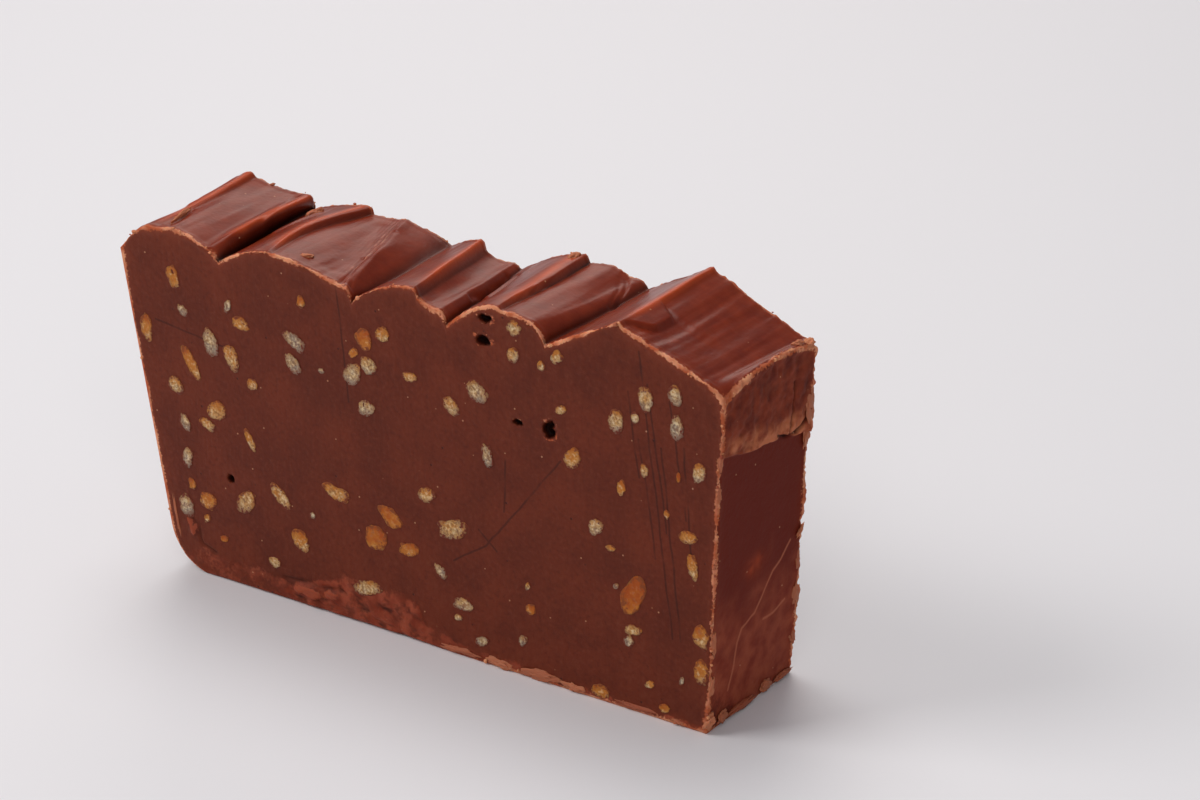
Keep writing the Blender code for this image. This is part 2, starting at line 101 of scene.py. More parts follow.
# Crisped rice in the front cut: (x, z, length, width, tilt from upright in degrees, toast). Toast runs
# from 0 for greyish white to 1 for grains stained orange by the fudge.
SHOWN_GRAINS = (
    (-47.5, 53.5, 4.3, 2.4, -20, 0.6), (-40.4, 43.5, 5.2, 2.9, -15, 0.1), (-36.2, 42.0, 5.2, 3.1, -22, 0.45),
    (-44.5, 38.5, 6.2, 2.2, -32, 0.6), (-22.6, 47.9, 4.6, 2.7, -62, 0.05), (-8.6, 51.6, 4.2, 3.4, -10, 0.8),
    (-7.9, 47.2, 3.9, 3.0, 75, 0.25), (-11.2, 44.9, 4.6, 3.2, 35, 0.15), (13.2, 47.9, 4.4, 3.3, -75, 0.2),
    (-27.1, 19.0, 5.3, 2.7, -51, 0.4), (-15.4, 22.8, 5.5, 2.9, -75, 0.5), (-7.8, 16.7, 4.8, 4.4, 0, 0.8),
    (-4.4, 21.4, 5.2, 3.3, -58, 0.8), (7.9, 22.7, 6.4, 3.7, 68, 0.35), (-9.7, 7.0, 5.6, 3.0, 75, 0.3),
    (42.3, 20.3, 7.4, 4.0, 28, 0.95), (42.3, 14.4, 3.8, 2.0, 75, 0.45), (15.0, 37.5, 4.2, 2.3, -5, 0.1),
    (39.3, 49.6, 4.0, 2.9, 5, 0.3), (31.2, 41.0, 4.0, 2.9, 25, 0.5), (44.7, 54.3, 4.1, 2.7, -12, 0.25),
    (53.3, 28.5, 4.5, 2.1, -5, 0.5), (-34.3, 16.5, 5.5, 3.2, 42, 0.4), (9.7, 9.5, 4.1, 2.5, 90, 0.15),
    (-46.0, 48.0, 2.6, 1.9, -50, 0.1), (-54.0, 43.3, 4.9, 2.6, -10, 0.6), (-33.9, 48.3, 3.6, 2.2, 85, 0.55),
    (-23.3, 43.9, 3.9, 2.6, -40, 0.1), (-48.5, 34.0, 3.9, 3.0, -60, 0.35), (-40.0, 31.1, 4.1, 3.2, 45, 0.45),
    (-42.0, 28.4, 3.2, 2.1, -65, 0.45), (-46.9, 27.5, 3.6, 2.5, -20, 0.1), (-4.8, 53.3, 3.1, 2.7, 0, 0.5),
    (-8.7, 39.6, 3.7, 2.8, 80, 0.15), (8.2, 44.3, 3.7, 2.4, -50, 0.35), (-33.0, 27.6, 4.1, 1.6, -30, 0.5),
    (-46.8, 21.1, 3.7, 2.5, 10, 0.1), (-47.8, 11.9, 4.2, 3.2, -10, 0.1), (-43.0, 14.0, 3.8, 3.3, 70, 0.6),
    (-1.0, 16.6, 4.1, 2.7, 80, 0.75), (3.0, 27.3, 3.2, 2.7, 70, 0.4), (-23.2, 11.9, 4.2, 3.6, -20, 0.55),
    (20.7, 60.4, 3.2, 2.8, 20, 0.35), (28.5, 57.5, 2.8, 2.2, 50, 0.4), (50.0, 56.4, 3.4, 2.7, -15, 0.2),
    (50.3, 51.0, 4.2, 2.4, 0, 0.1), (54.2, 44.4, 3.4, 2.3, 10, 0.3), (35.5, 30.4, 3.3, 2.8, 40, 0.25),
    (52.6, 33.4, 3.4, 2.3, 85, 0.55), (54.8, 16.8, 4.2, 3.2, 0, 0.6), (54.8, 10.9, 4.4, 2.9, 5, 0.6),
    (36.2, 1.7, 3.5, 2.6, 70, 0.6), (41.5, 12.2, 2.2, 1.8, 0, 0.05), (-36.3, 51.0, 2.6, 1.5, 20, 0.05),
    (-31.9, 38.1, 2.5, 2.3, 20, 0.5), (-17.5, 44.0, 1.3, 0.9, 80, 0.0), (-46.1, 16.4, 2.0, 1.7, 0, 0.7),
    (-43.3, 10.7, 1.9, 1.4, 30, 0.55), (-39.8, 7.8, 1.9, 1.2, 60, 1.0), (-29.0, 6.4, 2.7, 2.2, -60, 0.35),
    (-20.5, 17.4, 1.3, 1.1, 0, 0.05), (0.2, 47.3, 2.9, 1.8, 80, 0.45), (-10.8, 48.7, 2.2, 1.7, 40, 0.6),
    (20.3, 55.9, 2.5, 2.3, 20, 0.35), (25.6, 55.2, 1.8, 1.4, 0, 0.4), (29.1, 48.8, 2.3, 1.6, 70, 0.5),
    (5.3, 14.4, 2.9, 1.9, -40, 0.15), (22.4, 16.4, 1.5, 1.1, 30, 0.3), (22.9, 12.5, 2.3, 2.0, 60, 0.75),
    (21.2, 6.4, 2.3, 1.6, 30, 0.05), (8.6, 6.9, 1.7, 1.3, 70, 0.3), (13.2, 3.9, 2.8, 1.7, 65, 0.05),
    (42.8, 50.8, 1.9, 1.6, 0, 0.2), (40.3, 38.4, 2.9, 1.8, 5, 0.6), (44.4, 42.6, 2.4, 1.6, 0, 0.4),
    (48.5, 36.1, 1.6, 1.1, 0, 0.6), (50.6, 43.0, 1.6, 0.8, 0, 1.0), (38.2, 27.6, 2.0, 1.1, 80, 0.5),
    (39.1, 21.2, 1.3, 0.9, 30, 0.1), (45.4, 5.8, 2.0, 1.5, 60, 0.5), (51.3, 8.2, 1.9, 0.9, 10, 0.05),
    (48.0, 2.3, 2.1, 1.5, 70, 0.6), (-21.0, 55.2, 2.2, 1.7, 20, 0.7),
)
# The grains spread over the back cut, and how deep and how proud all grains lie.
GRAIN_SEED = 11
BACK_GRAINS = 56
GRAIN_LENGTH = (2.2, 4.1)
GRAIN_SLIMNESS = (0.62, 0.85)
GRAIN_SPACING = 3.8
GRAIN_MARGIN = 2.4
GRAIN_DEPTH = 2.2
GRAIN_PROUD = 0.1

# Holes in the front cut: (x, z, length, width).
PITS = ((14.7, 57.0, 3.2, 1.6), (15.2, 60.8, 2.6, 1.4), (27.0, 44.8, 2.3, 2.8), (21.0, 44.6, 2.0, 0.9),
        (-37.7, 19.5, 1.3, 1.2))
PIT_DEPTH = 2.4
PIT_DIRECTION = (-0.5, 1, -0.4)

# The rolled and torn foot of the front cut: how high it reaches at each x, the flat flakes on it as
# (x, z, length, width, tilt), the crevices in it as (x, z) places, and its stretch of loose crags.
FOOT_EDGE = ((-50, 2.5), (-45, 5.0), (-40, 3.9), (-32, 4.3), (-26, 3.6), (-17.5, 6.3), (-13, 8.2), (-7, 7.7),
             (0.5, 7.4), (2.0, 3.4), (14, 1.5), (57, 1.1))
FOOT_FLAKES = ((-22.3, 2.9, 5.6, 1.8, -3), (-17.2, 3.4, 3.8, 1.9, 9), (-46.5, 8.3, 1.3, 3.8, 8))
FOOT_CREVICES = (((-47.9, 12), (-46.9, 10), (-45.4, 8.2), (-44.8, 5.6), (-42, 4.6)),
                 ((-27, 4.1), (-21.5, 4.6), (-19.3, 4.3), (-15.5, 5.2), (-14.2, 4.6)))
CRAGS = (-27.0, 1.5)
FOOT_ROUND = 1.5
EDGE_ROUND = 0.5


def lerp(a, b, t):
    """The value that lies this share t of the way from a to b."""
    return a + (b - a) * t


def ease(low, high, value):
    """0 below low, 1 above high, and smooth between."""
    t = np.clip((value - low) / (high - low), 0, 1)
    return t * t * (3 - 2 * t)


def soft_noise(points, size, seed):
    """Smooth noise between -1 and 1, with bumps of this size: one for all axes, or one for each."""
    table = np.random.default_rng(seed).uniform(-1, 1, (32, 32, 32))
    cell = points / np.array(size)
    low = np.floor(cell).astype(int)
    part = cell - low
    part = part * part * (3 - 2 * part)
    total = np.zeros(len(points))
    for corner in itertools.product((0, 1), repeat=3):
        weight = np.prod(np.where(corner, part, 1 - part), axis=1)
        total += weight * table[tuple(((low + corner) % 32).T)]
    return total


def rough_noise(points, size, seed):
    """Noise in three layers, each half the size and strength of the last."""
    return sum(soft_noise(points, size / 2**layer, seed + layer) / 2**layer for layer in range(3)) / 1.75


def half_thickness(z):
    """How far the cut faces lie from the middle plane at height z."""
    return lerp(THICKNESS_AT_BASE, THICKNESS_AT_WALL_TOP, z / WALL_HEIGHT) / 2


def middle(depth):
    """1 half-way between the two cuts and 0 at both."""
    return np.clip(np.sin(np.pi * depth), 0, 1)


def place(pair, depth):
    """A fold's (x, z) at these depths, from 0 at the front cut to 1 at the back cut."""
    (front_x, front_z), (back_x, back_z) = pair
    return lerp(front_x, back_x, depth), lerp(front_z, back_z, depth)


def fold_stations():
    """How the columns of the top are shared out between the rise, face and nose of each fold."""
    lengths = []
    for fold in FOLDS:
        lengths += [fold.ridge[0][0] - fold.foot[0][0], fold.brow[0][0] - fold.ridge[0][0], NOSE_LENGTH]
    return np.concatenate(([0], np.cumsum(lengths) / sum(lengths)))


STATIONS = fold_stations()
ALONG_TOP = 128.0


def corner_top(depth):
    """Where the top meets the broken end: highest mid-way, crumbled off at both cuts."""
    arch = END_ARCH * middle(depth) ** 0.6
    return np.full_like(depth, BASE_RIGHT + RIGHT_LEAN), END_CORNER_HEIGHT + arch


def bead_size(index, depth):
    """How far behind the ridge line the bead ends, and how high it stands over the face. The last fold
    has a curled tongue near the front."""
    fold = FOLDS[index]
    width = 0.2 + fold.rope * ease(0.1, 0.7, depth)
    height = lerp(*fold.bead, depth**BEAD_SPREAD)
    if index == len(FOLDS) - 1:
        tongue = ease(0.04, 0.2, depth) * (1 - ease(0.34, 0.44, depth))
        width = width + TONGUE_WIDTH * tongue
        height = height + TONGUE_HEIGHT * tongue
    return width, height


def top_curve(along, depth):
    """(x, z) of the top for places along it, from 0 to 1."""
    x, z = np.zeros_like(along), np.zeros_like(along)
    for index, fold in enumerate(FOLDS):
        foot_x, foot_z = place(fold.foot, depth)
        ridge_x, ridge_z = place(fold.ridge, depth)
        brow_x, brow_z = place(fold.brow, depth)
        last = index == len(FOLDS) - 1
        end_x, end_z = corner_top(depth) if last else place(FOLDS[index + 1].foot, depth)
        ridge_x = ridge_x + fold.sway * np.sin(np.pi * depth)
        stops = STATIONS[3 * index:3 * index + 4]
        in_rise = (along >= stops[0]) & (along < stops[1])
        in_face = (along >= stops[1]) & (along < stops[2])
        in_nose = (along >= stops[2]) & (along <= stops[3])
        t = np.clip((along - stops[0]) / (stops[1] - stops[0]), 0, 1)
        x = np.where(in_rise, lerp(foot_x, ridge_x, t), x)
        sharp = np.maximum(LAST_RISE_SHARPNESS if last else 0.0, RISE_SHARPNESS * ease(0.05, 0.4, depth))
        z = np.where(in_rise, lerp(foot_z, ridge_z, lerp(np.sin(t * np.pi / 2) ** fold.rise, t, sharp)), z)
        t = np.clip((along - stops[1]) / (stops[2] - stops[1]), 0, 1)
        bead_width, bead = bead_size(index, depth)
        away = (brow_x - ridge_x) * t - bead_width
        drop = bead * (1 - t) * ease(0, BEAD_FALL, away)
        lip = fold.curl * np.exp(-(((brow_x - ridge_x) * (1 - t)) ** 2)) * middle(depth) ** 0.5
        height = lerp(ridge_z, brow_z, t) + lerp(*fold.bulge, depth) * np.sin(np.pi * t) - drop + lip
        x = np.where(in_face, lerp(ridge_x, brow_x, t), x)
        z = np.where(in_face, height, z)
        t = np.clip((along - stops[2]) / (stops[3] - stops[2]), 0, 1)
        reach = np.hypot(end_x - brow_x, end_z - brow_z)
        out = lerp(*fold.nose, depth) * np.sin(np.pi * t)
        out = out + fold.hang * middle(depth) ** 0.7 * t**0.4 * (1 - t) ** 1.1 / HANG_PEAK
        x = np.where(in_nose, lerp(brow_x, end_x, t) - out * (end_z - brow_z) / reach, x)
        lip = fold.curl * middle(depth) ** 0.5 * (1 - t) ** 3
        z = np.where(in_nose, lerp(brow_z, end_z, t) + out * (end_x - brow_x) / reach + lip, z)
    return x, z


def tray_curve(up, depth):
    """(x, z) round the tray's bottom corner and up its wall."""
    lean = math.atan2(LEFT_LEAN, WALL_HEIGHT)
    turn = math.pi / 2 - lean
    centre_x = BASE_LEFT + TRAY_CORNER_RADIUS * math.tan(turn / 2)
    angle = turn * np.clip(up / TRAY_CORNER_SHARE, 0, 1)
    x = centre_x - TRAY_CORNER_RADIUS * np.sin(angle)
    z = TRAY_CORNER_RADIUS * (1 - np.cos(angle))
    foot_x, foot_z = place(FOLDS[0].foot, depth)
    t = np.clip((up - TRAY_CORNER_SHARE) / (1 - TRAY_CORNER_SHARE), 0, 1)
    return lerp(x, foot_x, t), lerp(z, foot_z, t)


def end_band(z, depth):
    """1 on the rough raised band at the top of the broken end, and 0 on the smooth part below its edge."""
    edge = lerp(END_BAND_FRONT, END_BAND_BACK, depth)
    y = (2 * depth - 1) * 13
    edge = edge + 0.8 * soft_noise(np.stack((y, y * 0, y * 0 + 7), -1), 3.0, 31)
    return ease(-0.25, 0.25, z - edge)


def end_curve(up, depth):
    """(x, z) up the broken end."""
    top_x, top_z = corner_top(depth)
    z = top_z * up
    band = end_band(z, depth)
    proud = END_BAND_PROUD * (band * (0.45 + 0.55 * np.clip((top_z - z) / 5, 0, 1)) - 1)
    blend = ease(0.97, 1.0, up)
    x = BASE_RIGHT + RIGHT_LEAN * np.clip(z / WALL_HEIGHT, 0, 1) ** 0.65 + proud
    return lerp(x, top_x, blend), z


def slab_point(u, v, w):
    """(x, y, z) in millimetres of a block's point (u, v, w), each from 0 to 1, moved onto the slice."""
    left_x, left_z = tray_curve(w, v)
    right_x, right_z = end_curve(w, v)
    top_x, top_z = top_curve(u, v)
    low, high = np.zeros_like(w), np.ones_like(w)
    base_x = lerp(tray_curve(low, v)[0], end_curve(low, v)[0], u)
    x = (1 - u) * left_x + u * right_x + (1 - w) * base_x + w * top_x
    z = (1 - u) * left_z + u * right_z + w * top_z
    for side, across in ((tray_curve, 1 - u), (end_curve, u)):
        for level, up in ((low, 1 - w), (high, w)):
            corner_x, corner_z = side(level, v)
            x = x - across * up * corner_x
            z = z - across * up * corner_z
    z = np.clip(z, 0, None)
    return x, lerp(-1, 1, v) * half_thickness(z), z


def linear(hex_colour):
    """An sRGB colour such as "C08040" as the linear colour that shaders take."""
    parts = [int(hex_colour[i:i + 2], 16) / 255 for i in (0, 2, 4)]
    return (*(c / 12.92 if c <= 0.04045 else ((c + 0.055) / 1.055) ** 2.4 for c in parts), 1.0)


def set_inputs(tree, node, inputs):
    """Gives a node's inputs, by name or in their order, a value, a hex colour or a link from a socket."""
    for socket, value in inputs.items() if isinstance(inputs, dict) else enumerate(inputs):
        if isinstance(value, bpy.types.NodeSocket):
            tree.links.new(value, node.inputs[socket])
        else:
            node.inputs[socket].default_value = linear(value) if isinstance(value, str) else value


def add_node(tree, kind, inputs=(), output=0, **settings):
    """Adds a shader node with its settings and links, and gives one of its outputs."""
    node = tree.nodes.new("ShaderNode" + kind)
    for name, value in settings.items():
        setattr(node, name, value)
    set_inputs(tree, node, inputs)
    return node.outputs[output]


def new_material(name):
    """A material named for its finish, and the function that adds nodes to it."""
    material = bpy.data.materials.new(name)
    material.use_nodes = True
    return material, functools.partial(add_node, material.node_tree)


def finished(material, sockets):
    """The material, once its own shader has these sockets."""
    tree = material.node_tree
    set_inputs(tree, tree.nodes["Principled BSDF"], sockets)
    return material


def layered(add, colour, *coats):
    """A colour with coats laid over it in turn, each as (how much it covers, its colour)."""
    for cover, top in coats:
        colour = add("Mix", {0: cover, 6: colour, 7: top}, 2, data_type="RGBA")
    return colour


def mottling(add, place_of, size_mm, detail=2.0, stretch=(1, 1, 1)):
    """Uneven patches of about this size, drawn out along an axis whose stretch is over 1."""
    mapped = add("Mapping", {"Vector": place_of, "Scale": tuple(1 / side for side in stretch)})
    return add("TexNoise", {"Vector": mapped, "Scale": 1 / (size_mm * MM), "Detail": detail}, "Fac")


def marks(add, place_of, flat, lines, width):
    """1 along thin bent lines and 0 from this width on. Flat says which axes count, and a line's places
    are pairs on those axes, in millimetres."""
    axes = [axis for axis in range(3) if flat[axis]]
    level = add("VectorMath", (place_of, flat), operation="MULTIPLY")
    nearest = 1.0
    for pairs in (pairs for line in lines for pairs in zip(line, line[1:])):
        ends = [Vector(), Vector()]
        for spot, pair in zip(ends, pairs):
            spot[axes[0]], spot[axes[1]] = pair[0] * MM, pair[1] * MM
        along = ends[1] - ends[0]
        offset = add("VectorMath", (level, ends[0]), operation="SUBTRACT")
        share = add("VectorMath", (offset, along / along.length_squared), "Value", operation="DOT_PRODUCT")
        reached = add("VectorMath", {0: along, "Scale": add("Clamp", (share,))}, operation="SCALE")
        gap = add("VectorMath", (offset, reached), "Value", operation="DISTANCE")
        nearest = add("Math", (nearest, gap), operation="MINIMUM")
    return add("MapRange", (nearest, width * 0.3 * MM, width * MM, 1.0, 0.0))


# Long scratches of the knife in the front cut, as (x, z) places, and how wide they are.
SCRATCHES = (
    ((29, 40), (14.5, 21.5), (8, 17)), ((13, 24), (16.5, 21)), ((18.5, 37.5), (18, 28.5)),
    ((43.5, 62), (49.5, 15)), ((47.5, 47), (51, 15)), ((43.5, 47.5), (46.5, 28)), ((45, 57), (48.5, 33)),
    ((49, 55), (52, 36)), ((41.5, 55), (43.5, 41)), ((51.5, 48), (53, 30)), ((-52, 45), (-35, 43)),
    ((-14, 62), (-12, 40)),
)
SCRATCH_WIDTH = 0.24
# Pale cracks in the broken end, as (y, z) places, and how wide they are.
END_CRACKS = (
    ((9.5, 25), (7, 22.8), (4.6, 21.6), (0, 16.3), (-3.8, 15.3), (-4.9, 13.2), (-5.6, 9.4), (-6.9, 5.5)),
    ((8.9, 14.9), (5.5, 14), (2.7, 14.1)),
)
END_CRACK_WIDTH = 0.35

# The masks that the slice's mesh carries, one for each finish of its fudge and for its painted shade, glow
# and highlight.
SLICE_MASKS = ("skin", "wrinkle_highlight", "streaky", "cut", "front", "end", "low_end", "band", "band_foot", "smear",
               "flake", "lip", "rim", "halo", "hollow")
# Masks with a ragged edge, and where the mask with its fine noise starts to cover and covers wholly.
RAGGED_MASKS = {"band": (0.36, 0.58), "flake": (0.36, 0.58), "rim": (0.36, 0.58), "smear": (0.2, 0.8)}
# Finishes in patches of two tones: (dark, pale, where the patches start to turn pale, and where they are).
PATCHY_TONES = {
    "skin": ("70230F", "822E16", 0.3, 0.7),
    "low_end": ("7A2A17", "98472E", 0.35, 0.65),
    "band": ("5E1D0E", "86371F", 0.35, 0.65),
    "band_foot": ("84381F", "BA6C48", 0.4, 0.6),
    "smear": ("762A14", "994830", 0.35, 0.65),
    # The rim's pale tones are partly dry crumb and partly painted glow of light through the thin edge.
    "rim": ("B25A38", "D99470", 0.42, 0.62),
}


def fudge_material():
    """Milk-chocolate fudge. The knife leaves it matt with fine drag marks and scratches, the paddled top
    sets smooth and softly glossy, and broken edges dry to a pale crumb that also carries a painted glow of
    light through the thin edge. Thin lips let orange light through, and that glow is painted on them too.
    Gaps, holes, crevices and scratches carry painted shade, the broken end is painted darker as painted
    shade, and the crests of fine wrinkles carry a painted highlight. The real sugar grain is too fine to
    show, so it is drawn 0.8 mm wide."""
    material, add = new_material("milk_chocolate_fudge")
    place_of = add("TexCoord", output="Object")
    mask = {name: add("Attribute", output="Fac", attribute_name=name) for name in SLICE_MASKS}
    # Cloudy tone, patches of dry crumb, grain of sugar, marks down the cut and streaks across the top.
    broad = mottling(add, place_of, 9, 4)
    patches = mottling(add, place_of, 3, 3)
    sugar = mottling(add, place_of, 0.8, 5)
    drag = mottling(add, place_of, 0.9, 3, (1, 1, 22))
    streaks = mottling(add, place_of, 1.2, 3, (1, 14, 1))
    ragged = add("MapRange", (mottling(add, place_of, 0.5, 3), 0.3, 0.7, -0.24, 0.24))
    for name, (low, high) in RAGGED_MASKS.items():
        mask[name] = add("MapRange", (add("Math", (mask[name], ragged), operation="ADD"), low, high))

    # Scratches and cracks wander a little from their straight lines.
    bend = add("TexNoise", {"Vector": place_of, "Scale": 1 / (7 * MM), "Detail": 3}, "Color")
    bend = add("VectorMath", {0: bend, "Scale": 0.8 * MM}, operation="SCALE")
    bend = add("VectorMath", (place_of, bend), operation="ADD")
    wandering = add("VectorMath", (bend, (0.4 * MM,) * 3), operation="SUBTRACT")
    mask["scratch"] = marks(add, wandering, (1, 0, 1), SCRATCHES, SCRATCH_WIDTH)
    mask["crack"] = marks(add, wandering, (0, 1, 1), END_CRACKS, END_CRACK_WIDTH)
    mask["streak"] = add("MapRange", (streaks, 0.4, 0.68, 0.0, 0.6))

    # Pale specks of sugar 3.6 mm apart, and pinholes 4.4 mm apart that don't lie on them, painted dark as
    # painted shade in the holes.
    specks = add("TexVoronoi", {"Vector": place_of, "Scale": 1 / (3.6 * MM)}, "Distance")
    mask["speck"] = add("MapRange", (specks, 0.03, 0.05, 0.8, 0.0))
    shifted = add("VectorMath", (place_of, (0.0131, 0.0057, 0.0093)), operation="ADD")
    pinholes = add("TexVoronoi", {"Vector": shifted, "Scale": 1 / (4.4 * MM)}, "Distance")
    mask["pinhole"] = add("MapRange", (pinholes, 0.03, 0.06, 0.7, 0.0))

    # Where each mark shows, and how strongly.
    faint = add("MapRange", (mottling(add, place_of, 5, 2), 0.25, 0.45))
    limits = {"scratch": (mask["front"], faint, 0.6), "crack": (mask["end"], 0.7), "wrinkle_highlight": (0.8,),
              "streak": (mask["streaky"],), "pinhole": (mask["cut"],), "halo": (0.55,)}
    for name, factors in limits.items():
        for factor in factors:
            mask[name] = add("Math", (mask[name], factor), operation="MULTIPLY")

    tone = {}
    for name, (dark, pale, low, high) in PATCHY_TONES.items():
        tone[name] = layered(add, dark, (add("MapRange", (patches, low, high)), pale))
    # dark streaks on the skin, and the wrinkle crests painted pale as painted highlight
    tone["skin"] = layered(add, tone["skin"], (mask["streak"], "611A0C"), (mask["wrinkle_highlight"], "C98E78"))
    colour = layered(
        add, "5E2311",
        (add("MapRange", (broad, 0.35, 0.65)), "6B2A15"),
        (add("MapRange", (sugar, 0.52, 0.75, 0.0, 0.3)), "7C3C29"),
        (add("MapRange", (sugar, 0.3, 0.46, 0.35, 0.0)), "4A160A"),
        # scratches painted dark, as painted shade in the knife's grooves
        (mask["scratch"], "30100A"),
        # the broken end, painted darker and redder than the cut as painted shade on that side
        (mask["end"], "641A08"),
        (mask["low_end"], tone["low_end"]),
        (mask["skin"], tone["skin"]),
        (mask["band"], tone["band"]),
        (mask["band_foot"], tone["band_foot"]),
        (mask["crack"], "B06448"),
        (mask["smear"], tone["smear"]),
        (mask["flake"], "96452C"),
        # painted glow of light through the thin lips
        (mask["lip"], "BA4A1E"),
        (mask["halo"], "A04A2E"),
        # the rim: pale dry crumb with a painted glow of light through the thin edge
        (mask["rim"], tone["rim"]),
        # painted shade in the gaps between folds, in holes and in crevices
        (mask["hollow"], "240A05"),
        (mask["speck"], "C08A68"),
        # pinholes painted dark, as painted shade in them
        (mask["pinhole"], "2E0D06"),
    )

    # Matt where cut, softly glossy on the skin, and driest on broken edges.
    rough = add("MapRange", (mask["skin"], 0.0, 1.0, 0.6, 0.3))
    dry = add("Math", (mask["rim"], mask["end"]), operation="ADD")
    rough = add("Math", (dry, 0.2, rough), operation="MULTIPLY_ADD")
    relief = add("Math", (sugar, add("MapRange", (mask["skin"], 0.0, 1.0, 0.8, 0.25))), operation="MULTIPLY")
    relief = add("Math", (mask["pinhole"], -0.5, relief), operation="MULTIPLY_ADD")
    dragged = add("Math", (mask["cut"], 0.4), operation="MULTIPLY")
    relief = add("Math", (drag, dragged, relief), operation="MULTIPLY_ADD")
    return finished(material, {
        "Base Color": colour, "Roughness": rough, "Specular IOR Level": 0.19,
        "Subsurface Weight": 0.3, "Subsurface Radius": (1.0, 0.25, 0.10), "Subsurface Scale": 1.0 * MM,
        "Normal": add("Bump", {"Height": relief, "Strength": 0.6, "Distance": 0.25 * MM}),
    })


# Crisped rice from greyish white to the orange of the fudge that soaked in, as (toast, colour).
TOAST_COLOURS = ((0.0, "917D6C"), (0.3, "BC9562"), (0.55, "BC7A30"), (0.8, "AE5E16"), (1.0, "A24A0C"))


def rice_material():
    """Crisped rice, puffed and toasted: a dry, porous crumb that runs from greyish white to gold, and
    orange where the fudge has soaked in."""
    material, add = new_material("crisped_rice")
    place_of = add("TexCoord", output="Object")
    toast, core = (add("Attribute", output="Fac", attribute_name=name) for name in ("toast", "core"))
    blotches, pores, crumb = (mottling(add, place_of, size, 3) for size in (1.3, 1.0, 0.5))
    uneven = add("MapRange", (blotches, 0.3, 0.7, -0.18, 0.18))
    toast = add("Math", (toast, uneven), operation="ADD")
    toasted = add("ValToRGB", (toast,))
    elements = toasted.node.color_ramp.elements
    for position, _ in TOAST_COLOURS[2:]:
        elements.new(position)
    for element, (position, colour) in zip(elements, TOAST_COLOURS):
        element.position = position
        element.color = linear(colour)
    dry = add("MapRange", (toast, 0.4, 0.7, 1.0, 0.1))
    pale = add("Math", (add("MapRange", (crumb, 0.52, 0.62, 0.0, 0.7)), dry), operation="MULTIPLY")
    # Painted shade: the crumb's crevices are painted dark.
    painted_crevice_shade = add("Math", (add("MapRange", (crumb, 0.38, 0.46, 0.6, 0.0)), dry), operation="MULTIPLY")
    inside = add("Math", (core, add("MapRange", (crumb, 0.3, 0.7, 0.3, -0.3))), operation="ADD")
    colour = layered(
        add, toasted,
        (add("MapRange", (pores, 0.56, 0.68, 0.0, 0.5)), "8A4416"),
        (pale, "E2CCA6"),
        (painted_crevice_shade, "6A3A22"),
        (add("MapRange", (inside, 0.05, 0.32, 1.0, 0.0)), layered(add, "84421A", (dry, "6A2A18"))),
    )
    return finished(material, {
        "Base Color": colour, "Roughness": 0.6, "Specular IOR Level": 0.25,
        "Subsurface Weight": 0.4, "Subsurface Radius": (1.0, 0.6, 0.35), "Subsurface Scale": 1.2 * MM,
        "Normal": add("Bump", {"Height": pores, "Strength": 0.6, "Distance": 0.2 * MM}),
    })


def crumb_material():
    """Dry fudge crumbs, paler than the slice because they scatter more light."""
    material, add = new_material("dry_fudge_crumb")
    tone = add("Attribute", output="Fac", attribute_name="toast")
    grit = mottling(add, add("TexCoord", output="Object"), 0.3, 2)
    return finished(material, {
        "Base Color": layered(add, "8A3418", (tone, "DE9468")), "Roughness": 0.7,
        "Subsurface Weight": 0.3, "Subsurface Radius": (1.0, 0.45, 0.2), "Subsurface Scale": 0.8 * MM,
        "Normal": add("Bump", {"Height": grit, "Strength": 0.5, "Distance": 0.1 * MM}),
    })


def coordinates(mesh):
    """The mesh's vertices as an array."""
    flat = np.empty(len(mesh.vertices) * 3)
    mesh.vertices.foreach_get("co", flat)
    return flat.reshape(-1, 3)


def set_coordinates(mesh, points):
    """Moves the mesh's vertices to these points."""
    mesh.vertices.foreach_set("co", np.asarray(points, float).ravel())
    mesh.update()


def normals(mesh):
    """The mesh's vertex normals as an array."""
    flat = np.empty(len(mesh.vertices) * 3)
    mesh.vertex_normals.foreach_get("vector", flat)
    return flat.reshape(-1, 3)


def set_attribute(mesh, name, values):
    """Stores one value for each vertex, for a material to read."""
    layer = mesh.attributes.new(name, "FLOAT", "POINT")
    layer.data.foreach_set("value", np.asarray(values, np.float32))


# The slice starts as a block, one unit wide each way. These are its sides, and how near to one a point of
# the block lies on it.
LEFT, RIGHT, FRONT, BACK, LOW, HIGH = range(6)
SIDE = 0.0001
# How many cells the block has along each axis, and how near, in millimetres, to its edges and to fine
# detail the cells are halved and then halved again.
BLOCK_CELLS = (118, 26, 58)
FINE_REACHES = (2.5, 1.5)


def cut_block(counts):
    """A unit block cut into this many cells along each axis, left in edit mode."""
    bpy.ops.mesh.primitive_cube_add(size=1, location=(0.5, 0.5, 0.5))
    bpy.ops.object.transform_apply(location=True)
    bpy.ops.object.mode_set(mode="EDIT")
    bpy.ops.mesh.select_mode(type="EDGE")
    for axis, count in enumerate(counts):
        mesh = bmesh.from_edit_mesh(bpy.context.object.data)
        for edge in mesh.edges:
            along = (edge.verts[1].co - edge.verts[0].co).normalized()
            edge.select = abs(along[axis]) > 0.9
        mesh.select_flush_mode()
        bmesh.update_edit_mesh(bpy.context.object.data)
        bpy.ops.mesh.subdivide(number_cuts=count - 1)


